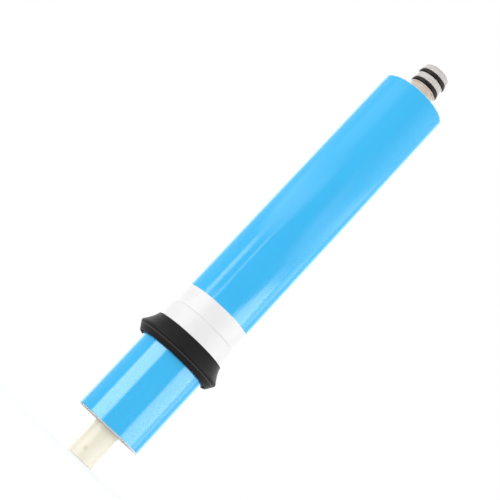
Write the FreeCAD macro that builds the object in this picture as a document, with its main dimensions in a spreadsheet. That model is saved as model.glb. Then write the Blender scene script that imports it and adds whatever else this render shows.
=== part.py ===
import FreeCAD, Part

import math
import os
import re

import Sketcher

# A spiral-wound reverse-osmosis membrane element of the small domestic cartridge size.
#
# It stands on the flat foot of its tail. The origin is the middle of that foot and +Z runs along the
# permeate tube to the nose with the two O-rings. -Y is the side with the tube's gate mark. Sizes in mm.
#
# Pieces: the permeate tube, two O-rings, the core tape that starts the roll, the roll's three sheets
# (permeate carrier, folded membrane leaf, feed spacer), the film wrap, the brine seal and its tape.

SIZES = {
    # lengths along the tube
    "tail_length": 21.8,
    "roll_length": 252.6,
    "stub_length": 23.6,
    # permeate tube
    "tail_diameter": 16.2,
    "tail_shoulder": 0.5,
    "tube_diameter": 16.6,
    "tube_bore": 11.6,
    "tail_wall": 3.0,
    "foot_round": 0.5,
    "gate_mark_height": 6.6,
    "gate_mark_offset": 1.96,
    "gate_mark_diameter": 2.0,
    "gate_mark_depth": 0.3,
    "inlet_hole_diameter": 3.0,
    "inlet_hole_margin": 31.3,
    "inlet_hole_stations": 6,
    # head of the tube, with the two O-ring grooves
    "head_diameter": 17.7,
    "head_length": 15.1,
    "head_cone": 0.6,
    "nose_round": 2.8,
    "outlet_bore": 9.0,
    "outlet_depth": 24.0,
    "groove_width": 3.0,
    "groove_spacing": 6.6,
    "nose_to_groove": 6.0,
    "o_ring_bore": 13.2,
    "o_ring_section": 2.65,
    "o_ring_slack": 0.03,
    # the roll
    "core_tape_thickness": 0.13,
    "core_tape_slack": 0.06,
    "core_tape_width": 12.0,
    "winding_turns": 6,
    "carrier_thickness": 0.3,
    "membrane_thickness": 0.15,
    "spacer_tip": 0.1,
    # film wrap
    "wrap_diameter": 42.4,
    "wrap_thickness": 0.3,
    "wrap_setback": 0.6,
    "wrap_lap_step": 0.1,
    "wrap_lap_angle": 115.0,
    "wrap_slack": 0.06,
    # brine seal: a cup open downwards, with a collar above it
    "seal_height": 72.2,
    "seal_length": 23.8,
    "seal_reach": 5.7,
    "seal_slack": 0.02,
    "seal_heel_wall": 0.9,
    "seal_bevel_height": 4.3,
    "seal_bevel_width": 2.8,
    "seal_lip_edge": 0.9,
    "seal_lip_wall": 1.6,
    "seal_cup_depth": 9.2,
    "seal_cup_root": 0.5,
    "seal_rim_land": 0.8,
    "seal_flare_height": 8.4,
    "seal_flare_radius": 30.0,
    "seal_collar_wall": 1.05,
    "seal_collar_taper": 0.4,
    # tape over the collar
    "seal_tape_thickness": 0.35,
    "seal_tape_width": 22.5,
    "seal_tape_ramp": 1.0,
    "seal_tape_slack": 0.02,
}

# Lengths that follow from the sizes.
FOLLOWS = {
    "overall_length": "tail_length + roll_length + stub_length",
    "tail_radius": "tail_diameter / 2",
    "tail_top": "tail_length - tail_shoulder",
    "tube_radius": "tube_diameter / 2",
    "bore_radius": "tube_bore / 2",
    "outlet_radius": "outlet_bore / 2",
    "outlet_foot": "overall_length - outlet_depth",
    "bore_top": "outlet_foot - (bore_radius - outlet_radius)",
    "head_radius": "head_diameter / 2",
    "head_foot": "overall_length - head_length",
    "nose_groove_middle": "overall_length - nose_to_groove",
    "shank_groove_middle": "nose_groove_middle - groove_spacing",
    "groove_radius": "o_ring_bore / 2 - o_ring_slack",
    "lowest_inlet": "tail_length + inlet_hole_margin",
    "inlet_hole_pitch": "(roll_length - 2 * inlet_hole_margin) / (inlet_hole_stations - 1)",
    "core_tape_seat": "tube_radius + core_tape_slack",
    "core_tape_face": "core_tape_seat + core_tape_thickness",
    "core_radius": "core_tape_face + core_tape_slack",
    "wrap_radius": "wrap_diameter / 2",
    "roll_radius": "wrap_radius - wrap_thickness - wrap_slack",
    "winding_pitch": "(roll_radius - core_radius) / (winding_turns + 1)",
    "seal_seat": "wrap_radius + seal_slack",
    "seal_heel": "seal_seat + seal_heel_wall",
    "seal_rim": "wrap_radius + seal_reach",
    "seal_lip": "seal_rim - seal_bevel_width",
    "seal_crease": "seal_height + seal_bevel_height",
    "seal_flare_foot": "seal_crease + seal_rim_land",
    "seal_top": "seal_height + seal_length",
    "collar_foot": "seal_flare_foot + seal_flare_height",
    "collar_radius": "seal_seat + seal_collar_wall",
    "collar_end_radius": "collar_radius - seal_collar_taper",
    "tape_top": "collar_foot + seal_tape_width",
    "ramp_top": "seal_top + seal_tape_ramp",
}


def formula(text):
    """The sheet's own words for a formula written with the names above."""
    def spell_out(match):
        name = match.group(0)
        if name in FOLLOWS:
            return "(" + formula(FOLLOWS[name]) + ")"
        return "sizes." + name if name in SIZES else name
    return re.sub(r"[a-z_]+", spell_out, text)


def value(text):
    """The number that a formula gives."""
    return float(sheet.evalExpression(formula(text)))


def bind(thing, **formulas):
    """Ties properties of an object to the sheet."""
    for name, text in formulas.items():
        thing.setExpression(name, formula(text))


def place(thing, height):
    """Ties an object's height above the foot to the sheet."""
    thing.setExpression("Placement.Base.z", formula(height))


def make_sheet():
    table = doc.addObject("Spreadsheet::Sheet", "sizes")
    for row, (name, size) in enumerate(SIZES.items(), 1):
        table.set(f"A{row}", name)
        table.set(f"B{row}", str(size))
        table.setAlias(f"B{row}", name)
    doc.recompute()
    return table


# ---- sketches and features of a body ----


def new_body(name):
    body = doc.addObject("PartDesign::Body", name)
    body.Label = name
    return body


def new_sketch(body, name, plane):
    sketch = body.newObject("Sketcher::SketchObject", name)
    origin_plane = next(part for part in body.Origin.OriginFeatures if part.Role == plane)
    sketch.AttachmentSupport = [(origin_plane, "")]
    sketch.MapMode = "FlatFace"
    return sketch


def pin_down(sketch, side, point, across, up):
    """Ties a point of a sketch to its place across and up the sketch."""
    for kind, axis, text in (("DistanceX", -2, across), ("DistanceY", -1, up)):
        size = value(text)
        if size == 0:
            sketch.addConstraint(Sketcher.Constraint("PointOnObject", side, point, axis))
            continue
        number = sketch.addConstraint(Sketcher.Constraint(kind, -1, 1, side, point, size))
        sketch.setExpression(f"Constraints[{number}]", formula(text))


def arc_middle(start, end, radius):
    """The middle of the shorter arc between two points that bulges to the left of the way from start to end."""
    chord = end - start
    rise = radius - math.sqrt(radius**2 - (chord.Length / 2) ** 2)
    return (start + end) / 2 + FreeCAD.Vector(-chord.y, chord.x, 0).normalize() * rise


def outline(body, name, corners):
    """A closed outline in the body's XZ plane. A corner is (radius, height), with an arc's radius after them
    where the side to the next corner is an arc."""
    sketch = new_sketch(body, name, "XZ_Plane")
    points = [FreeCAD.Vector(value(corner[0]), value(corner[1]), 0) for corner in corners]
    ends = points[1:] + points[:1]
    for corner, start, end in zip(corners, points, ends):
        if len(corner) == 3:
            sketch.addGeometry(Part.Arc(start, arc_middle(start, end, value(corner[2])), end))
        else:
            sketch.addGeometry(Part.LineSegment(start, end))
    # an arc is kept anticlockwise, so its first point may be either end of the side
    first = [1 if sketch.getPoint(i, 1).isEqual(start, 1e-6) else 2 for i, start in enumerate(points)]
    for i, corner in enumerate(corners):
        after = (i + 1) % len(corners)
        sketch.addConstraint(Sketcher.Constraint("Coincident", i, 3 - first[i], after, first[after]))
        pin_down(sketch, i, first[i], corner[0], corner[1])
        if len(corner) == 3:
            number = sketch.addConstraint(Sketcher.Constraint("Radius", i, value(corner[2])))
            sketch.setExpression(f"Constraints[{number}]", formula(corner[2]))
    return sketch


def turned(body, name, kind, corners):
    """A full turn of an outline about the tube's axis: kind is Revolution or, to cut, Groove."""
    sketch = outline(body, name + "_outline", corners)
    turn = body.newObject("PartDesign::" + kind, name)
    turn.Profile = sketch
    turn.ReferenceAxis = (sketch, ["V_Axis"])
    turn.Angle = 360
    doc.recompute()
    return turn


def circular_edges(shape, radius, height):
    """Names of the edges that run round the axis at a radius and a height."""
    names = []
    for number, edge in enumerate(shape.Edges, 1):
        round_edge = isinstance(edge.Curve, Part.Circle) and abs(edge.Curve.Radius - radius) < 1e-4
        if round_edge and abs(edge.Curve.Center.z - height) < 1e-4:
            names.append(f"Edge{number}")
    return names


def round_off(body, name, base, radius, height, size):
    """A fillet along a circular edge."""
    fillet = body.newObject("PartDesign::Fillet", name)
    fillet.Base = (base, circular_edges(base.Shape, value(radius), value(height)))
    bind(fillet, Radius=size)
    doc.recompute()
    return fillet


# ---- permeate tube ----


def inlet_holes(body, name, plane, lowest, count):
    """A row of cross holes right through the tube, at every second station."""
    sketch = new_sketch(body, name + "_outline", plane)
    sketch.addGeometry(Part.Circle(FreeCAD.Vector(0, value(lowest), 0), FreeCAD.Vector(0, 0, 1), 1))
    pin_down(sketch, 0, 3, "0", lowest)
    number = sketch.addConstraint(Sketcher.Constraint("Diameter", 0, value("inlet_hole_diameter")))
    sketch.setExpression(f"Constraints[{number}]", formula("inlet_hole_diameter"))
    hole = body.newObject("PartDesign::Pocket", name)
    hole.Profile = sketch
    hole.Type = "ThroughAll"
    hole.Midplane = True
    doc.recompute()
    row = body.newObject("PartDesign::LinearPattern", name + "_row")
    row.Originals = [hole]
    row.Direction = (sketch, ["V_Axis"])
    row.Mode = "Spacing"
    bind(row, Offset="inlet_hole_pitch * 2", Occurrences=count)
    body.Tip = row
    doc.recompute()


def gate_mark(body):
    """The shallow round mark that the mould's gate leaves on the -Y side of the tail."""
    sketch = new_sketch(body, "gate_mark_outline", "XZ_Plane")
    sketch.setExpression("AttachmentOffset.Base.z", formula("tail_radius - gate_mark_depth"))
    sketch.addGeometry(Part.Circle(FreeCAD.Vector(-1, 1, 0), FreeCAD.Vector(0, 0, 1), 1))
    pin_down(sketch, 0, 3, "-gate_mark_offset", "gate_mark_height")
    number = sketch.addConstraint(Sketcher.Constraint("Diameter", 0, value("gate_mark_diameter")))
    sketch.setExpression(f"Constraints[{number}]", formula("gate_mark_diameter"))
    mark = body.newObject("PartDesign::Pocket", "gate_mark")
    mark.Profile = sketch
    mark.Type = "ThroughAll"
    mark.Reversed = True
    doc.recompute()


def make_permeate_tube():
    """One moulding: closed tail, long bore, cross holes under the roll and a head with two O-ring grooves."""
    body = new_body("permeate_tube")
    rod = turned(body, "tube_rod", "Revolution", [
        ("0", "0"),
        ("tail_radius", "0"),
        ("tail_radius", "tail_top"),
        ("tube_radius", "tail_top"),
        ("tube_radius", "head_foot"),
        ("head_radius", "head_foot + head_cone"),
        ("head_radius", "overall_length"),
        ("0", "overall_length"),
    ])
    foot = round_off(body, "foot_fillet", rod, "tail_radius", "0", "foot_round")
    round_off(body, "nose_fillet", foot, "head_radius", "overall_length", "nose_round")
    turned(body, "tube_bore", "Groove", [
        ("0", "tail_wall"),
        ("bore_radius", "tail_wall"),
        ("bore_radius", "bore_top"),
        ("outlet_radius", "outlet_foot"),
        ("outlet_radius", "overall_length"),
        ("0", "overall_length"),
    ])
    for name, middle in (("shank_groove", "shank_groove_middle"), ("nose_groove", "nose_groove_middle")):
        turned(body, name, "Groove", [
            ("groove_radius", middle + " - groove_width / 2"),
            ("head_diameter", middle + " - groove_width / 2"),
            ("head_diameter", middle + " + groove_width / 2"),
            ("groove_radius", middle + " + groove_width / 2"),
        ])
    gate_mark(body)
    inlet_holes(body, "inlet_holes_x", "YZ_Plane", "lowest_inlet", "ceil(inlet_hole_stations / 2)")
    inlet_holes(body, "inlet_holes_y", "XZ_Plane", "lowest_inlet + inlet_hole_pitch",
                "floor(inlet_hole_stations / 2)")
    return body


def make_o_ring(name, middle):
    ring = doc.addObject("Part::Torus", name)
    bind(ring, Radius1="(o_ring_bore + o_ring_section) / 2", Radius2="o_ring_section / 2")
    place(ring, middle)
    return ring


# ---- the roll: sheets wound on a spiral of half circles ----


def arc_edge(centre, radius, start, end):
    """An arc about a point of the X axis, between two angles."""
    circle = Part.Circle(FreeCAD.Vector(centre, 0, 0), FreeCAD.Vector(0, 0, 1), radius)
    return Part.ArcOfCircle(circle, start, end).toShape()


def line_edge(start, end):
    """A straight edge along the X axis."""
    return Part.LineSegment(FreeCAD.Vector(start, 0, 0), FreeCAD.Vector(end, 0, 0)).toShape()


def spiral(start, pitch, first, last):
    """The half circles from number first up to last of a spiral that leaves the X axis at start. They are
    centred by turns a quarter of the pitch left and right of the axis, and so meet without a corner."""
    arcs = []
    for half in range(first, last):
        centre = -pitch / 4 if half % 2 == 0 else pitch / 4
        radius = start + pitch / 4 + half * pitch / 2
        turned_by = math.pi * (half % 2)
        arcs.append(arc_edge(centre, radius, turned_by, turned_by + math.pi))
    return arcs


def fold_arc(low, high):
    """A half circle below the X axis, from low to high: the nose of a fold."""
    return arc_edge((low + high) / 2, (high - low) / 2, math.pi, 2 * math.pi)


def face_of(edges, hole_radius=None):
    outer = Part.Wire(Part.__sortEdges__(edges))
    if hole_radius is None:
        return Part.Face(outer)
    hole = Part.Wire([Part.Circle(FreeCAD.Vector(), FreeCAD.Vector(0, 0, 1), hole_radius).toShape()])
    return Part.Face([outer, hole], "Part::FaceMakerBullseye")


def carrier_section():
    """The first sheet: it closes round the core, fills up the first step and runs between the folded leaves."""
    core, pitch, thick = value("core_radius"), value("winding_pitch"), value("carrier_thickness")
    turns = int(value("winding_turns"))
    end = core + turns * pitch
    edges = spiral(core + thick, pitch, 0, 2 * turns)
    edges += spiral(core, pitch, 2, 2 * turns)
    edges += [line_edge(end, end + thick), fold_arc(core + thick, core + pitch)]
    return face_of(edges, core)


def leaf_section():
    """The membrane sheet, folded at the core round the edge of the feed spacer, so that two plies run out."""
    core, pitch, thick = value("core_radius"), value("winding_pitch"), value("membrane_thickness")
    turns = int(value("winding_turns"))
    inside = core + value("carrier_thickness")
    outside = core + pitch
    edges = [fold_arc(inside, outside), fold_arc(inside + thick, outside - thick)]
    for start in (inside, inside + thick, outside - thick, outside):
        edges += spiral(start, pitch, 0, 2 * turns)
    for start in (inside, outside - thick):
        end = start + turns * pitch
        edges.append(line_edge(end, end + thick))
    return face_of(edges)


def spacer_section():
    """The feed net between the plies. It runs out past the leaf and closes the roll round with a last turn
    that thins to a tip."""
    core, pitch, ply = value("core_radius"), value("winding_pitch"), value("membrane_thickness")
    turns = int(value("winding_turns"))
    inside = core + value("carrier_thickness") + ply
    outside = core + pitch - ply
    out = turns * pitch
    outer = core + pitch + out
    # the tip lies where the last ply is this near to the round outside
    tip = outer - value("spacer_tip")
    centre, radius = pitch / 4, outer - pitch / 4
    tip_angle = 2 * math.pi - math.acos((tip**2 + centre**2 - radius**2) / (2 * tip * centre))
    across = FreeCAD.Vector(math.cos(tip_angle), math.sin(tip_angle), 0)
    on_ply = across * tip
    ply_angle = 2 * math.pi + math.atan2(on_ply.y, on_ply.x - centre)
    edges = spiral(inside, pitch, 0, 2 * turns) + spiral(outside, pitch, 0, 2 * turns)
    edges += [line_edge(inside, outside), line_edge(outside + out, outer), line_edge(core + out, inside + out)]
    edges += spiral(core + pitch, pitch, 2 * turns - 2, 2 * turns - 1)
    edges.append(arc_edge(centre, radius, math.pi, ply_angle))
    edges.append(Part.LineSegment(on_ply, across * outer).toShape())
    edges.append(arc_edge(0, outer, 0, tip_angle))
    return face_of(edges)


def core_tape_section():
    """The strip of double-sided tape that holds the carrier's edge on the tube."""
    seat, face = value("core_tape_seat"), value("core_tape_face")
    half = value("core_tape_width") / 2 / face
    edges = [arc_edge(0, radius, -half, half) for radius in (seat, face)]
    for angle in (-half, half):
        across = FreeCAD.Vector(math.cos(angle), math.sin(angle), 0)
        edges.append(Part.LineSegment(across * seat, across * face).toShape())
    return face_of(edges)


def wrap_section():
    """The film round the roll: round inside, and outside a turn that ends in the step of its free edge."""
    outside, step = value("wrap_radius"), value("wrap_lap_step")
    edges = spiral(outside - step, step, 0, 2) + [line_edge(outside - step, outside)]
    face = face_of(edges, outside - value("wrap_thickness"))
    return face.rotated(FreeCAD.Vector(), FreeCAD.Vector(0, 0, 1), value("wrap_lap_angle"))


def rolled(name, section, foot, length):
    """A sheet of the roll: its section, as wide as the sheet lies along the tube."""
    profile = doc.addObject("Part::Feature", name + "_section")
    profile.Shape = section
    sheet_of_roll = doc.addObject("Part::Extrusion", name)
    sheet_of_roll.Base = profile
    sheet_of_roll.DirMode = "Custom"
    sheet_of_roll.Dir = FreeCAD.Vector(0, 0, 1)
    sheet_of_roll.Solid = True
    bind(sheet_of_roll, LengthFwd=length)
    place(sheet_of_roll, foot)
    return sheet_of_roll


def make_roll():
    sheets = [
        ("core_tape", core_tape_section()),
        ("permeate_carrier", carrier_section()),
        ("membrane_leaf", leaf_section()),
        ("feed_spacer", spacer_section()),
    ]
    roll = [rolled(name, section, "tail_length", "roll_length") for name, section in sheets]
    wrap = rolled("outer_wrap", wrap_section(), "tail_length + wrap_setback", "roll_length - 2 * wrap_setback")
    return roll + [wrap]


# ---- brine seal and its tape ----


def make_brine_seal():
    """A rubber cup seal, moulded in one piece with the collar that the tape holds."""
    body = new_body("brine_seal")
    turned(body, "seal_ring", "Revolution", [
        ("seal_seat", "seal_height"),
        ("seal_heel", "seal_height"),
        ("seal_heel", "seal_height + seal_cup_depth"),
        ("seal_heel + seal_cup_root", "seal_height + seal_cup_depth"),
        ("seal_rim - seal_lip_wall", "seal_crease"),
        ("seal_lip - seal_lip_edge", "seal_height"),
        ("seal_lip", "seal_height"),
        ("seal_rim", "seal_crease"),
        ("seal_rim", "seal_flare_foot", "seal_flare_radius"),
        ("collar_radius", "collar_foot"),
        ("collar_end_radius", "seal_top"),
        ("seal_seat", "seal_top"),
    ])
    return body


def make_seal_tape():
    """Tape wound over the collar and down onto the wrap beside it."""
    inner = [
        ("collar_radius + seal_tape_slack", "collar_foot"),
        ("collar_end_radius + seal_tape_slack", "seal_top"),
        ("wrap_radius + seal_tape_slack", "ramp_top"),
        ("wrap_radius + seal_tape_slack", "tape_top"),
    ]
    outer = [(radius + " + seal_tape_thickness", height) for radius, height in reversed(inner)]
    body = new_body("seal_tape")
    turned(body, "tape_ring", "Revolution", inner + outer)
    return body


# ---- the element ----


def check(parts):
    """Stops if any object has failed or a piece isn't one sound solid."""
    for thing in doc.Objects:
        if {"Invalid", "Error"} & set(thing.State):
            raise RuntimeError(f"{thing.Label} failed: {thing.State}")
    for part in parts:
        shape = part.Shape
        if shape.isNull() or not shape.isValid() or len(shape.Solids) != 1:
            raise RuntimeError(f"{part.Label} isn't one sound solid")


doc = FreeCAD.newDocument("membrane_element")
sheet = make_sheet()
pieces = [
    make_permeate_tube(),
    make_o_ring("o_ring_shank", "shank_groove_middle"),
    make_o_ring("o_ring_nose", "nose_groove_middle"),
    *make_roll(),
    make_brine_seal(),
    make_seal_tape(),
]
doc.recompute()
check(pieces)
os.makedirs("parts", exist_ok=True)
for piece in pieces:
    piece.Shape.exportStep(f"parts/{piece.Label}.step")
    print(f"{piece.Label}: {piece.Shape.Volume:.1f} mm3")
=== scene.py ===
import math

import bpy
from mathutils import Matrix, Vector


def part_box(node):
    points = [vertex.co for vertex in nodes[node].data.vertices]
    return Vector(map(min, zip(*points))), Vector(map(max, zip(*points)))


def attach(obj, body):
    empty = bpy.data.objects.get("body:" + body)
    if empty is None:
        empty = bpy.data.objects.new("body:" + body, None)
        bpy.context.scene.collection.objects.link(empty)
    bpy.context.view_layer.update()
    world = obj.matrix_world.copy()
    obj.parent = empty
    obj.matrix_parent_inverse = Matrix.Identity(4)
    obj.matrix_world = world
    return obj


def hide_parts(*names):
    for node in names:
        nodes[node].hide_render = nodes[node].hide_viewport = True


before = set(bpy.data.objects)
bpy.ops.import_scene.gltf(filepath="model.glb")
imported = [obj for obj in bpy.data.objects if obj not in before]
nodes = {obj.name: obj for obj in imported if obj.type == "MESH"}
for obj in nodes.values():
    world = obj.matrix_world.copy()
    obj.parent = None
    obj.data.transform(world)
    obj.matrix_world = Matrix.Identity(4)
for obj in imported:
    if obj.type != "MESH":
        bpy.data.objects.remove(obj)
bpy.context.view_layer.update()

MM = 0.001

# ---- sizes of the dressed pieces, in millimetres; angles in degrees round the tube ----

ROLL_FOOT, ROLL_TOP = (corner.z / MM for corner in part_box("membrane_leaf"))
FILM_FOOT, FILM_TOP = (corner.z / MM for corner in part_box("outer_wrap"))
TAPE_FOOT, TAPE_TOP = (corner.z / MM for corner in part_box("seal_tape"))
SEAL_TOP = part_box("brine_seal")[1].z / MM
FILM_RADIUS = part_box("outer_wrap")[1].x / MM
TAPE_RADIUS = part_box("seal_tape")[1].x / MM

WALL_SEGMENTS = 150
FILM_ROWS = 130
FILM_THICKNESS = 0.3
FILM_LAP_STEP = 0.1
FILM_LAP_ANGLE = 115
TAPE_THICKNESS = 0.3
TAPE_LAP_STEP = 0.12
TAPE_LAP_ANGLE = 62
TAPE_COLLAR_TAPER = 0.4
TAPE_OVER_FILM = 0.37
TAPE_RAMP = 1.1
TAPE_ROWS_ON_COLLAR, TAPE_ROWS_ON_RAMP, TAPE_ROWS_ON_FILM = 14, 6, 18
LAP_EDGE = 0.35

WINDING_CORE = 8.55
WINDING_TURNS = 6
ROLL_RADIUS = 20.84
WINDING_PITCH = (ROLL_RADIUS - WINDING_CORE) / (WINDING_TURNS + 1)
CARRIER = 0.3
MEMBRANE = 0.15
STRAND_RADIUS = 0.27
STRAND_PITCH = 2.5
STRAND_SLACK = 0.03
FILM_SLACK = 0.05
ROOM_FOR_ONE_STRAND = 2.3 * STRAND_RADIUS
ROOM_FOR_BOTH_STRANDS = 4.6 * STRAND_RADIUS
NET_RECESS = 2.6
NET_SHADE = 0.4


# ---- working with the mesh tools ----


def clear_selection():
    if bpy.context.object and bpy.context.object.mode != "OBJECT":
        bpy.ops.object.mode_set(mode="OBJECT")
    bpy.ops.object.select_all(action="DESELECT")


def pick(thing):
    clear_selection()
    thing.select_set(True)
    bpy.context.view_layer.objects.active = thing


def named(name):
    thing = bpy.context.object
    thing.name = thing.data.name = name
    return thing


def new_object(name, data):
    thing = bpy.data.objects.new(name, data)
    bpy.context.scene.collection.objects.link(thing)
    return thing


def settle(thing):
    """Moves a piece's place into its mesh, so that its object sits at the origin."""
    pick(thing)
    bpy.ops.object.transform_apply(location=True, rotation=True, scale=True)
    return thing


def select_where(mesh, test):
    """Selects the vertices for which test(place) is true, in object mode."""
    for part in (mesh.vertices, mesh.edges, mesh.polygons):
        part.foreach_set("select", [False] * len(part))
    mesh.vertices.foreach_set("select", [bool(test(vertex.co)) for vertex in mesh.vertices])


def wall(name, profile, turned_by):
    """A thin wall round the tube: a circle drawn at the first radius and height of the profile,
    then extruded up and resized to each of the next ones."""
    clear_selection()
    radius, height = profile[0]
    bpy.ops.mesh.primitive_circle_add(vertices=WALL_SEGMENTS, radius=radius * MM,
                                      location=(0, 0, height * MM),
                                      rotation=(0, 0, math.radians(turned_by)))
    thing = settle(named(name))
    bpy.ops.object.mode_set(mode="EDIT")
    bpy.ops.mesh.select_all(action="SELECT")
    for next_radius, next_height in profile[1:]:
        bpy.ops.mesh.extrude_region_move(
            TRANSFORM_OT_translate={"value": (0, 0, (next_height - height) * MM)})
        if abs(next_radius - radius) > 1e-6:
            ratio = next_radius / radius
            bpy.ops.transform.resize(value=(ratio, ratio, 1),
                                     center_override=(0, 0, next_height * MM))
        radius, height = next_radius, next_height
    bpy.ops.mesh.select_all(action="SELECT")
    bpy.ops.mesh.normals_make_consistent(inside=False)
    bpy.ops.object.mode_set(mode="OBJECT")
    return thing


def wind(thing, step, angle):
    """Lays the wall as one turn of a spiral, so that its free edge at this angle stands up by the
    step. The last column of vertices closes up to the first, and so becomes the edge's face."""
    start = math.radians(angle)
    columns = {}
    for vertex in thing.data.vertices:
        turn = (math.atan2(vertex.co.y, vertex.co.x) - start) % (2 * math.pi)
        if turn > 2 * math.pi - 1e-4:
            turn = 0.0
        columns.setdefault(round(turn, 3), []).append(vertex)
    turns = sorted(columns)
    for turn in turns:
        place, share = turn, turn / (2 * math.pi)
        if turn == turns[-1]:
            place, share = 2 * math.pi - math.radians(LAP_EDGE), 1.0
        for vertex in columns[turn]:
            radius = math.hypot(vertex.co.x, vertex.co.y) - step * (1 - share) * MM
            vertex.co.x = radius * math.cos(start + place)
            vertex.co.y = radius * math.sin(start + place)


def draw_out(thing, ratio):
    """Stretches a piece along the tube, away from the foot."""
    pick(thing)
    bpy.ops.object.mode_set(mode="EDIT")
    bpy.ops.mesh.select_all(action="SELECT")
    bpy.ops.transform.resize(value=(1, 1, ratio), center_override=(0, 0, 0))
    bpy.ops.object.mode_set(mode="OBJECT")


def ripple(thing, size, height, stretch):
    """Soft unevenness over a wall, pushed in and out along its normals. It is drawn out along the
    tube by pressing the piece together first and stretching it again afterwards."""
    texture = bpy.data.textures.new(thing.name + "_ripple", "CLOUDS")
    texture.noise_scale = size * MM
    texture.noise_depth = 1
    draw_out(thing, 1 / stretch)
    push = thing.modifiers.new("ripple", "DISPLACE")
    push.texture = texture
    push.texture_coords = "LOCAL"
    push.direction = "NORMAL"
    push.strength = height * MM
    push.mid_level = 0.5
    bpy.ops.object.modifier_apply(modifier="ripple")
    draw_out(thing, stretch)


def thicken(thing, thickness):
    pick(thing)
    body = thing.modifiers.new("thickness", "SOLIDIFY")
    body.thickness = thickness * MM
    body.offset = -1
    bpy.ops.object.modifier_apply(modifier="thickness")


def smooth(thing, angle=35):
    pick(thing)
    bpy.ops.object.shade_smooth_by_angle(angle=math.radians(angle))


def steps(low, high, count):
    return [low + (high - low) * number / count for number in range(count + 1)]


# ---- the film and the tape ----


def make_film():
    """The blue film round the roll, slightly uneven, with its free edge along one side."""
    profile = [(FILM_RADIUS, height) for height in steps(FILM_FOOT, FILM_TOP, FILM_ROWS)]
    film = wall("film", profile, FILM_LAP_ANGLE)
    ripple(film, size=24, height=0.10, stretch=2.6)
    ripple(film, size=7, height=0.012, stretch=1.5)
    wind(film, FILM_LAP_STEP, FILM_LAP_ANGLE)
    thicken(film, FILM_THICKNESS)
    smooth(film)
    return film


def make_tape():
    """White tape over the seal's tapered collar, down a short ramp and on over the film."""
    collar_end = TAPE_RADIUS - TAPE_COLLAR_TAPER
    on_film = FILM_RADIUS + TAPE_OVER_FILM
    ramp_end = SEAL_TOP + TAPE_RAMP
    profile = [(TAPE_RADIUS + (collar_end - TAPE_RADIUS) * share,
                TAPE_FOOT + (SEAL_TOP - TAPE_FOOT) * share)
               for share in steps(0, 1, TAPE_ROWS_ON_COLLAR)]
    profile += [(on_film + (collar_end - on_film) * (0.5 + 0.5 * math.cos(math.pi * share)),
                 SEAL_TOP + TAPE_RAMP * share) for share in steps(0.15, 1, TAPE_ROWS_ON_RAMP)]
    profile += [(on_film, height) for height in steps(ramp_end, TAPE_TOP, TAPE_ROWS_ON_FILM)[1:]]
    tape = wall("tape", profile, TAPE_LAP_ANGLE)
    ripple(tape, size=9, height=0.05, stretch=1.4)
    wind(tape, TAPE_LAP_STEP, TAPE_LAP_ANGLE)
    thicken(tape, TAPE_THICKNESS)
    smooth(tape)
    return tape


# ---- the feed net ----


def on_winding(start, angle):
    """A point of the winding, whose half circles are centred left and right of the tube's axis."""
    half = int(angle // math.pi)
    centre = -WINDING_PITCH / 4 if half % 2 == 0 else WINDING_PITCH / 4
    radius = start + WINDING_PITCH / 4 + half * WINDING_PITCH / 2
    return Vector((centre + radius * math.cos(angle), radius * math.sin(angle), 0))


def strand_place(lean, angle):
    """Where a strand stands at this angle of the winding, or None past the end of the net. Strands
    that lean forward lie on the net's inner side, and those that lean back on its outer side."""
    inner = WINDING_CORE + CARRIER + MEMBRANE + STRAND_RADIUS + STRAND_SLACK
    outer = WINDING_CORE + WINDING_PITCH - MEMBRANE - STRAND_RADIUS - STRAND_SLACK
    last = 2 * math.pi * WINDING_TURNS
    if angle < last:
        return on_winding(inner if lean > 0 else outer, angle)
    # the last turn of the net closes the roll and thins out
    room = WINDING_PITCH * (1 - (angle - last) / (2 * math.pi))
    if room < (ROOM_FOR_ONE_STRAND if lean > 0 else ROOM_FOR_BOTH_STRANDS):
        return None
    if lean > 0:
        seat = WINDING_CORE + WINDING_PITCH + STRAND_RADIUS + STRAND_SLACK
        return on_winding(seat, angle - 2 * math.pi)
    under_film = ROLL_RADIUS - STRAND_RADIUS - FILM_SLACK
    return Vector((math.cos(angle), math.sin(angle), 0)) * under_film


def make_strand(lean):
    """One cut strand of the net: a short rod whose far end is carried sideways."""
    clear_selection()
    bpy.ops.mesh.primitive_cylinder_add(vertices=7, radius=STRAND_RADIUS * MM,
                                        depth=NET_RECESS * MM, location=(0, 0, 0))
    strand = named("strand")
    bpy.ops.object.mode_set(mode="EDIT")
    bpy.ops.mesh.select_all(action="DESELECT")
    bpy.ops.object.mode_set(mode="OBJECT")
    select_where(strand.data, lambda place: place.z > 0)
    bpy.ops.object.mode_set(mode="EDIT")
    bpy.ops.transform.translate(value=(0, lean * NET_RECESS * MM, 0))
    bpy.ops.mesh.select_all(action="SELECT")
    bpy.ops.transform.translate(value=(0, -lean * NET_RECESS * MM / 2, 0))
    bpy.ops.object.mode_set(mode="OBJECT")
    return strand


def lay_strands(lean, angle):
    """Copies of one strand along the whole winding from this angle on, at both ends of the roll."""
    pattern = make_strand(lean)
    strands = []
    place = strand_place(lean, angle)
    while place is not None:
        place = place * MM
        for height in (ROLL_FOOT + NET_RECESS / 2, ROLL_TOP - NET_RECESS / 2):
            strand = new_object("strand", pattern.data.copy())
            strand.matrix_world = (Matrix.Translation((place.x, place.y, height * MM))
                                   @ Matrix.Rotation(angle, 4, "Z"))
            strands.append(strand)
        angle += STRAND_PITCH * MM / place.length
        place = strand_place(lean, angle)
    bpy.data.objects.remove(pattern)
    return strands


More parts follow.
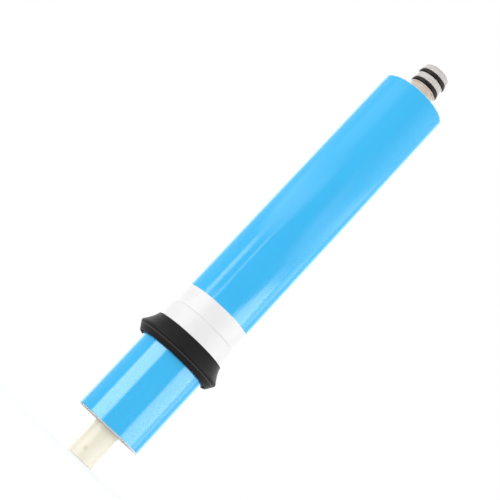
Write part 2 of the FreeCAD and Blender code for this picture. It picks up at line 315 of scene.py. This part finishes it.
def make_net():
    """The feed net: its body between the membranes stops short of both ends, where only cut strands
    show."""
    mesh = nodes["feed_spacer"].data.copy()
    mesh.materials.clear()
    net = new_object("feed_net", mesh)
    pick(net)
    bpy.ops.object.mode_set(mode="EDIT")
    bpy.ops.mesh.select_all(action="SELECT")
    bpy.ops.mesh.remove_doubles(threshold=1e-6)
    bpy.ops.mesh.select_all(action="DESELECT")
    bpy.ops.object.mode_set(mode="OBJECT")
    middle = (ROLL_FOOT + ROLL_TOP) / 2 * MM
    for below, inwards in ((True, 1), (False, -1)):
        select_where(mesh, lambda place: (place.z < middle) == below)
        bpy.ops.object.mode_set(mode="EDIT")
        bpy.ops.transform.translate(value=(0, 0, inwards * NET_RECESS * MM))
        bpy.ops.object.mode_set(mode="OBJECT")
    strands = lay_strands(lean=1, angle=0.15) + lay_strands(lean=-1, angle=0.28)
    clear_selection()
    for thing in strands + [net]:
        thing.select_set(True)
    bpy.context.view_layer.objects.active = net
    bpy.ops.object.join()
    smooth(net, 40)
    return net


# ---- laying out materials; their heights and places are in metres ----

NOISE_SPAN = (0.3, 0.7)
# heights on the seal where a highlight is painted along its crease
SEAL_CREASE_HIGHLIGHT = (0.0748, 0.0754)
SHANK_FOOT, HEAD_FOOT, TUBE_TOP = 0.273, 0.2835, 0.4
GATE_MARK = (-0.00196, -0.0081, 0.0066)


class Sheet:
    """A material or node group being laid out: adds nodes and joins them by name."""

    def __init__(self, tree):
        self.tree = tree
        self.tree.nodes.clear()
        self.column = 0

    def add(self, kind, **settings):
        node = self.tree.nodes.new(kind)
        node.location = (self.column * 180, 0)
        self.column += 1
        inputs = settings.pop("inputs", {})
        for key, value in settings.items():
            setattr(node, key, value)
        for key, value in inputs.items():
            socket = node.inputs[key]
            if isinstance(value, bpy.types.NodeSocket):
                self.join(value, socket)
            else:
                socket.default_value = value
        return node

    def join(self, value, socket):
        self.tree.links.new(value, socket)

    def math(self, operation, *values, clamp=False):
        inputs = dict(enumerate(values))
        return self.add("ShaderNodeMath", operation=operation, use_clamp=clamp,
                        inputs=inputs).outputs[0]

    def blend(self, share, low, high):
        node = self.add("ShaderNodeMix", data_type="RGBA", inputs={0: share, 6: low, 7: high})
        return node.outputs[2]

    def stretch(self, value, low, high, new_low=0.0, new_high=1.0):
        node = self.add("ShaderNodeMapRange", clamp=True,
                        inputs={0: value, 1: low, 2: high, 3: new_low, 4: new_high})
        return node.outputs[0]

    def ramp(self, value, low, high, new_low, new_high):
        """Like stretch, with a smooth start and end."""
        node = self.add("ShaderNodeMapRange", interpolation_type="SMOOTHSTEP",
                        inputs={0: value, 1: low, 2: high, 3: new_low, 4: new_high})
        return node.outputs[0]

    def use(self, group, **values):
        inputs = {key.replace("_", " "): value for key, value in values.items()}
        return self.add("ShaderNodeGroup", node_tree=group, inputs=inputs).outputs


def new_group(name, inputs, outputs):
    group = bpy.data.node_groups.new(name, "ShaderNodeTree")
    sheet = Sheet(group)
    for key, value in inputs.items():
        socket = group.interface.new_socket(name=key, in_out="INPUT",
                                            socket_type="NodeSocketFloat")
        socket.default_value = value
    for key, kind in outputs.items():
        group.interface.new_socket(name=key, in_out="OUTPUT", socket_type=kind)
    given = sheet.add("NodeGroupInput").outputs
    made = sheet.add("NodeGroupOutput").inputs
    return group, sheet, given, made


def uneven_group():
    """Slow mottling and fine grain of a moulded or drawn surface."""
    group, sheet, given, made = new_group(
        "uneven",
        {"Mottle Scale": 60.0, "Grain Scale": 900.0, "Grain Depth": 0.2, "Stretch": 1.0},
        {"Mottle": "NodeSocketFloat", "Grain": "NodeSocketFloat", "Normal": "NodeSocketVector"})
    place = sheet.add("ShaderNodeTexCoord").outputs["Object"]
    apart = sheet.add("ShaderNodeSeparateXYZ", inputs={0: place}).outputs
    drawn = sheet.add("ShaderNodeCombineXYZ", inputs={
        0: apart[0], 1: apart[1],
        2: sheet.math("MULTIPLY", apart[2], given["Stretch"])}).outputs[0]
    mottle = sheet.add("ShaderNodeTexNoise", inputs={
        "Vector": drawn, "Scale": given["Mottle Scale"],
        "Detail": 3.0, "Roughness": 0.55}).outputs[0]
    grain = sheet.add("ShaderNodeTexNoise", inputs={
        "Vector": drawn, "Scale": given["Grain Scale"],
        "Detail": 4.0, "Roughness": 0.6}).outputs[0]
    bump = sheet.add("ShaderNodeBump", inputs={
        "Strength": given["Grain Depth"], "Distance": 0.0001, "Height": grain}).outputs[0]
    sheet.join(sheet.stretch(mottle, *NOISE_SPAN), made["Mottle"])
    sheet.join(grain, made["Grain"])
    sheet.join(bump, made["Normal"])
    return group


def band_group():
    """A mask that is 1 between two heights above the foot, with soft ends."""
    group, sheet, given, made = new_group(
        "height_band", {"Low": 0.0, "High": 0.1, "Soft": 0.001}, {"Mask": "NodeSocketFloat"})
    place = sheet.add("ShaderNodeTexCoord").outputs["Object"]
    height = sheet.add("ShaderNodeSeparateXYZ", inputs={0: place}).outputs[2]
    over = sheet.math("SUBTRACT", height, given["Low"])
    under = sheet.math("SUBTRACT", given["High"], height)
    above = sheet.math("DIVIDE", over, given["Soft"], clamp=True)
    below = sheet.math("DIVIDE", under, given["Soft"], clamp=True)
    sheet.join(sheet.math("MULTIPLY", above, below), made["Mask"])
    return group


UNEVEN = uneven_group()
BAND = band_group()


def rgb(red, green, blue):
    return (red, green, blue, 1.0)


def finish_material(name, build):
    material = bpy.data.materials.new(name)
    material.use_nodes = True
    sheet = Sheet(material.node_tree)
    shader = sheet.add("ShaderNodeBsdfPrincipled")
    out = sheet.add("ShaderNodeOutputMaterial")
    sheet.join(shader.outputs[0], out.inputs[0])
    build(sheet, shader)
    return material


def finish_surface(sheet, shader, look, colour, low, high):
    """Gives the shader its colour, a roughness from low to high with the grain, and fine relief."""
    sheet.join(colour, shader.inputs["Base Color"])
    sheet.join(sheet.stretch(look["Grain"], *NOISE_SPAN, low, high), shader.inputs["Roughness"])
    sheet.join(look["Normal"], shader.inputs["Normal"])


# ---- the materials ----


def blue_film(sheet, shader):
    look = sheet.use(UNEVEN, Mottle_Scale=22.0, Grain_Scale=500.0, Grain_Depth=0.02, Stretch=0.35)
    colour = sheet.blend(look["Mottle"], rgb(0.023, 0.490, 0.92), rgb(0.032, 0.525, 0.96))
    finish_surface(sheet, shader, look, colour, 0.07, 0.12)
    shader.inputs["IOR"].default_value = 1.5


def white_tape(sheet, shader):
    look = sheet.use(UNEVEN, Mottle_Scale=45.0, Grain_Scale=1400.0, Grain_Depth=0.25)
    colour = sheet.blend(look["Mottle"], rgb(0.85, 0.84, 0.84), rgb(0.89, 0.88, 0.88))
    finish_surface(sheet, shader, look, colour, 0.35, 0.5)


def seal_rubber(sheet, shader):
    look = sheet.use(UNEVEN, Mottle_Scale=70.0, Grain_Scale=1800.0, Grain_Depth=0.5)
    low, high = SEAL_CREASE_HIGHLIGHT
    # painted highlight: a lighter line along the crease stands in for the light caught by its
    # rounded edge
    crease_highlight = sheet.use(BAND, Low=low, High=high, Soft=0.0002)["Mask"]
    black = sheet.blend(look["Mottle"], rgb(0.009, 0.0085, 0.0085), rgb(0.014, 0.013, 0.013))
    colour = sheet.blend(crease_highlight, black, rgb(0.09, 0.07, 0.065))
    finish_surface(sheet, shader, look, colour, 0.42, 0.6)
    shader.inputs["Specular IOR Level"].default_value = 0.12


def ring_rubber(sheet, shader):
    look = sheet.use(UNEVEN, Mottle_Scale=150.0, Grain_Scale=2500.0, Grain_Depth=0.2)
    colour = sheet.blend(look["Mottle"], rgb(0.005, 0.005, 0.005), rgb(0.010, 0.009, 0.008))
    finish_surface(sheet, shader, look, colour, 0.25, 0.38)
    shader.inputs["Specular IOR Level"].default_value = 0.2


def tube_plastic(sheet, shader):
    look = sheet.use(UNEVEN, Mottle_Scale=80.0, Grain_Scale=1500.0, Grain_Depth=0.12, Stretch=0.5)
    shank = sheet.use(BAND, Low=SHANK_FOOT, High=TUBE_TOP, Soft=0.003)["Mask"]
    head = sheet.use(BAND, Low=HEAD_FOOT, High=TUBE_TOP, Soft=0.003)["Mask"]
    cream = sheet.blend(look["Mottle"], rgb(0.90, 0.85, 0.69), rgb(0.95, 0.91, 0.77))
    grey = sheet.blend(look["Mottle"], rgb(0.60, 0.57, 0.54), rgb(0.68, 0.65, 0.62))
    beige = sheet.blend(look["Mottle"], rgb(0.63, 0.53, 0.45), rgb(0.68, 0.60, 0.51))
    body = sheet.blend(head, sheet.blend(shank, cream, beige), grey)
    # the moulding's gate leaves a small stained dimple near the foot
    place = sheet.add("ShaderNodeTexCoord").outputs["Object"]
    away = sheet.add("ShaderNodeVectorMath", operation="DISTANCE",
                     inputs={0: place, 1: GATE_MARK}).outputs["Value"]
    stain = sheet.stretch(away, 0.0005, 0.0018, 0.45, 0.0)
    colour = sheet.blend(stain, body, rgb(0.70, 0.60, 0.34))
    finish_surface(sheet, shader, look, colour, 0.3, 0.42)


def tricot(sheet, shader):
    look = sheet.use(UNEVEN, Mottle_Scale=90.0, Grain_Scale=2600.0, Grain_Depth=0.6)
    colour = sheet.blend(look["Mottle"], rgb(0.86, 0.85, 0.82), rgb(0.92, 0.91, 0.88))
    finish_surface(sheet, shader, look, colour, 0.6, 0.8)


def membrane(sheet, shader):
    look = sheet.use(UNEVEN, Mottle_Scale=90.0, Grain_Scale=1800.0, Grain_Depth=0.3)
    colour = sheet.blend(look["Mottle"], rgb(0.86, 0.83, 0.77), rgb(0.92, 0.90, 0.85))
    finish_surface(sheet, shader, look, colour, 0.4, 0.6)


def feed_net(sheet, shader):
    """Bright strands at the roll's ends, and painted shade on the net's body between the sheets
    behind them.
    """
    look = sheet.use(UNEVEN, Mottle_Scale=150.0, Grain_Scale=1500.0, Grain_Depth=0.2)
    # painted shade: the net's body is coloured dark where it lies in shade behind the cut strands
    recess_shade = sheet.use(BAND, Low=(ROLL_FOOT + NET_RECESS - NET_SHADE) * MM,
                     High=(ROLL_TOP - NET_RECESS + NET_SHADE) * MM, Soft=0.0016)["Mask"]
    bright = sheet.blend(look["Mottle"], rgb(0.80, 0.82, 0.83), rgb(0.88, 0.89, 0.90))
    colour = sheet.blend(recess_shade, bright, rgb(0.25, 0.26, 0.27))
    finish_surface(sheet, shader, look, colour, 0.3, 0.45)


def clear_tape(sheet, shader):
    look = sheet.use(UNEVEN, Mottle_Scale=120.0, Grain_Scale=1500.0, Grain_Depth=0.1)
    colour = sheet.blend(look["Mottle"], rgb(0.62, 0.55, 0.40), rgb(0.70, 0.64, 0.50))
    finish_surface(sheet, shader, look, colour, 0.2, 0.3)


MATERIALS = {build.__name__: finish_material(build.__name__, build) for build in (
    blue_film, white_tape, seal_rubber, ring_rubber, tube_plastic, tricot, membrane, feed_net,
    clear_tape)}

# the nodes that keep their own mesh
FINISHES = {
    "permeate_tube": "tube_plastic",
    "o_ring_shank": "ring_rubber",
    "o_ring_nose": "ring_rubber",
    "core_tape": "clear_tape",
    "permeate_carrier": "tricot",
    "membrane_leaf": "membrane",
    "brine_seal": "seal_rubber",
}


def paint_node(name, finish):
    for place in nodes[name].material_slots:
        place.material = MATERIALS[finish]


def dress(thing, finish, *replaced):
    thing.data.materials.clear()
    thing.data.materials.append(MATERIALS[finish])
    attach(thing, "root")
    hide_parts(*replaced)


# ---- camera, light and floor, in metres ----

CAMERA_DISTANCE, CAMERA_HEIGHT = 0.6452, 0.008
CAMERA_YAW, CAMERA_PITCH, CAMERA_ROLL = 0.015, 0.210, -0.752
CAMERA_LENS, CAMERA_SENSOR = 85.77, 36

SOFTBOX_WIDTH, SOFTBOX_HEIGHT = 2.2, 1.0
# each patch: first and last angle round the element in degrees and the softness of both, lowest
# and highest height and the softness of both, brightness
LEFT_PATCHES = (
    (-76, -31, 5, 0.0, 0.245, 0.015, 7.0),
    (-70, -57, 4, 0.245, 0.372, 0.012, 3.9),
    (-38, -32, 2, 0.245, 0.372, 0.012, 2.2),
    (-98, -24, 16, 0.382, 0.49, 0.035, 1.6),
    (-85, -35, 15, 0.50, 1.2, 0.03, 0.75),
)
RIGHT_PATCHES = (
    (42, 92, 5, 0.0, 0.27, 0.015, 5.1),
    (92, 130, 5, 0.0, 0.36, 0.03, 1.5),
    (50, 90, 4, 0.27, 0.30, 0.015, 5.1),
    (57, 88, 4, 0.30, 0.33, 0.015, 4.7),
    (58, 84, 8, 0.33, 0.365, 0.015, 1.0),
    (28, 120, 14, 0.375, 0.50, 0.035, 1.1),
    (75, 105, 14, 0.42, 0.52, 0.03, 0.5),
    (45, 105, 20, 0.53, 1.2, 0.03, 0.5),
)
BACK_PATCHES = ((135, 225, 6, 0.0, 0.9, 0.05, 1.3),)
WHITE = rgb(1.0, 1.0, 1.0)
SURROUNDINGS = rgb(0.37, 0.37, 0.375)


def make_camera():
    forward, right, up = Vector((0, 1, 0)), Vector((1, 0, 0)), Vector((0, 0, 1))
    turn = Matrix.Rotation(CAMERA_YAW, 3, up)
    forward, right = turn @ forward, turn @ right
    turn = Matrix.Rotation(CAMERA_PITCH, 3, right)
    forward, up = turn @ forward, turn @ up
    turn = Matrix.Rotation(CAMERA_ROLL, 3, forward)
    right, up = turn @ right, turn @ up
    lens = bpy.data.cameras.new("camera")
    lens.lens, lens.sensor_width = CAMERA_LENS, CAMERA_SENSOR
    lens.clip_start, lens.clip_end = 0.01, 50
    camera = new_object("camera", lens)
    place = Matrix((right, up, -forward)).transposed().to_4x4()
    place.translation = (0, -CAMERA_DISTANCE, CAMERA_HEIGHT)
    camera.matrix_world = place
    bpy.context.scene.camera = camera


def band(sheet, value, low, high, soft):
    """1 between low and high, with a smooth rise and fall."""
    rise = sheet.ramp(value, low - soft, low + soft, 0.0, 1.0)
    fall = sheet.ramp(value, high - soft, high + soft, 1.0, 0.0)
    return sheet.math("MULTIPLY", rise, fall)


def make_softbox(name, azimuth, patches):
    """A wide soft light that stands upright a metre off and faces the element. Its cloth lets
    through the light of each patch."""
    turn = math.radians(azimuth)
    lamp = bpy.data.lights.new(name, "AREA")
    lamp.shape = "RECTANGLE"
    lamp.size, lamp.size_y = SOFTBOX_WIDTH, SOFTBOX_HEIGHT
    lamp.energy = math.pi * SOFTBOX_WIDTH * SOFTBOX_HEIGHT
    lamp.use_nodes = True
    sheet = Sheet(lamp.node_tree)
    across, up, _ = sheet.add("ShaderNodeSeparateXYZ", inputs={
        0: sheet.add("ShaderNodeNewGeometry").outputs["Parametric"]}).outputs
    side = sheet.math("MULTIPLY", sheet.math("SUBTRACT", across, 0.5), SOFTBOX_WIDTH)
    angle = sheet.math("ADD", sheet.math("ARCTANGENT", side), turn)
    reach = sheet.math("SQRT", sheet.math("MULTIPLY_ADD", side, side, 1.0))
    level = sheet.math("DIVIDE", sheet.math("MULTIPLY", up, SOFTBOX_HEIGHT), reach)
    light = 0.0
    for first, last, soft, low, high, level_soft, brightness in patches:
        patch = sheet.math(
            "MULTIPLY",
            band(sheet, angle, math.radians(first), math.radians(last), math.radians(soft)),
            band(sheet, level, low, high, level_soft))
        light = sheet.math("MULTIPLY_ADD", patch, brightness, light)
    glow = sheet.add("ShaderNodeEmission", inputs={"Strength": light})
    out = sheet.add("ShaderNodeOutputLight")
    sheet.join(glow.outputs[0], out.inputs[0])
    thing = new_object(name, lamp)
    outwards = Vector((math.sin(turn), -math.cos(turn), 0))
    thing.location = (outwards.x, outwards.y, SOFTBOX_HEIGHT / 2)
    thing.rotation_euler = outwards.to_track_quat("Z", "Y").to_euler()
    thing.visible_camera = False


def seen_ray(sheet):
    """1 for what the eye, a reflection or a clear piece sees directly, 0 for the light it gives."""
    path = sheet.add("ShaderNodeLightPath").outputs
    beyond = sheet.math("MAXIMUM", path["Is Glossy Ray"], path["Is Transmission Ray"])
    return sheet.math("MAXIMUM", path["Is Camera Ray"], beyond)


def make_world():
    world = bpy.data.worlds.new("backdrop")
    bpy.context.scene.world = world
    world.use_nodes = True
    sheet = Sheet(world.node_tree)
    colour = sheet.blend(seen_ray(sheet), SURROUNDINGS, WHITE)
    light = sheet.add("ShaderNodeBackground", inputs={"Color": colour, "Strength": 1.0})
    out = sheet.add("ShaderNodeOutputWorld")
    sheet.join(light.outputs[0], out.inputs[0])


def pale_floor(sheet, shader):
    """A pale floor that shows shadows near the element and fades into the backdrop further off."""
    shader.inputs["Base Color"].default_value = rgb(0.72, 0.72, 0.72)
    shader.inputs["Roughness"].default_value = 0.9
    shader.inputs["Specular IOR Level"].default_value = 0.1
    shader.inputs["Emission Color"].default_value = WHITE
    place = sheet.add("ShaderNodeTexCoord").outputs["Object"]
    away = sheet.add("ShaderNodeVectorMath", operation="LENGTH", inputs={0: place}).outputs["Value"]
    share = sheet.stretch(away, 0.2, 1.6, 0.42, 0.73)
    sheet.join(sheet.math("MULTIPLY", seen_ray(sheet), share), shader.inputs["Emission Strength"])


def make_floor():
    clear_selection()
    bpy.ops.mesh.primitive_plane_add(size=12, location=(0, 0, 0))
    floor = named("floor")
    floor.data.materials.append(finish_material("pale_floor", pale_floor))


def main():
    bpy.context.scene.view_settings.view_transform = "Standard"
    make_camera()
    make_world()
    make_floor()
    make_softbox("left_softbox", -62, LEFT_PATCHES)
    make_softbox("right_softbox", 66, RIGHT_PATCHES)
    make_softbox("back_softbox", 180, BACK_PATCHES)

    dress(make_film(), "blue_film", "outer_wrap")
    dress(make_tape(), "white_tape", "seal_tape")
    dress(make_net(), "feed_net", "feed_spacer")
    for name, finish in FINISHES.items():
        paint_node(name, finish)


main()
